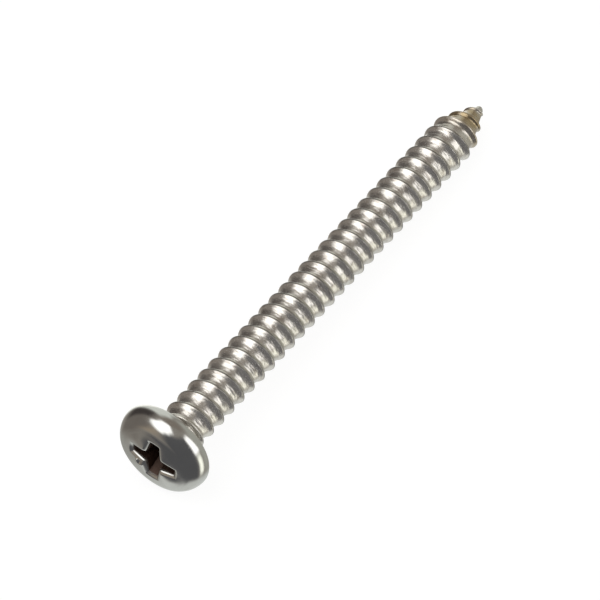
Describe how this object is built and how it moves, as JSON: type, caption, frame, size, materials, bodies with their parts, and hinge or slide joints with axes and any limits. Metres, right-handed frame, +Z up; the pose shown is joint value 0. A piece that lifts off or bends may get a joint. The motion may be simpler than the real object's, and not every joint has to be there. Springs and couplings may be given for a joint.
{
  "type": "sheet metal screw",
  "caption": "Stainless steel pan head sheet metal screw with a cross recess, a coarse thread along its whole shank and a sharp threaded point.",
  "frame": {"origin": "centre of the bottom of the screw's box, on the surface it lies on", "axes": "+X from the head towards the point along the surface, +Z up; the point end lies lower than the head, so the screw's own axis is tilted down by 2.9 degrees towards +X"},
  "size_m": [0.053, 0.0094, 0.0095],
  "materials": {
    "stainless_steel": "bright rolled and tumbled stainless steel, faintly warm, straw-brown near the point"
  },
  "bodies": {
    "root": {"screw": "stainless_steel"}
  },
  "joints": []
}
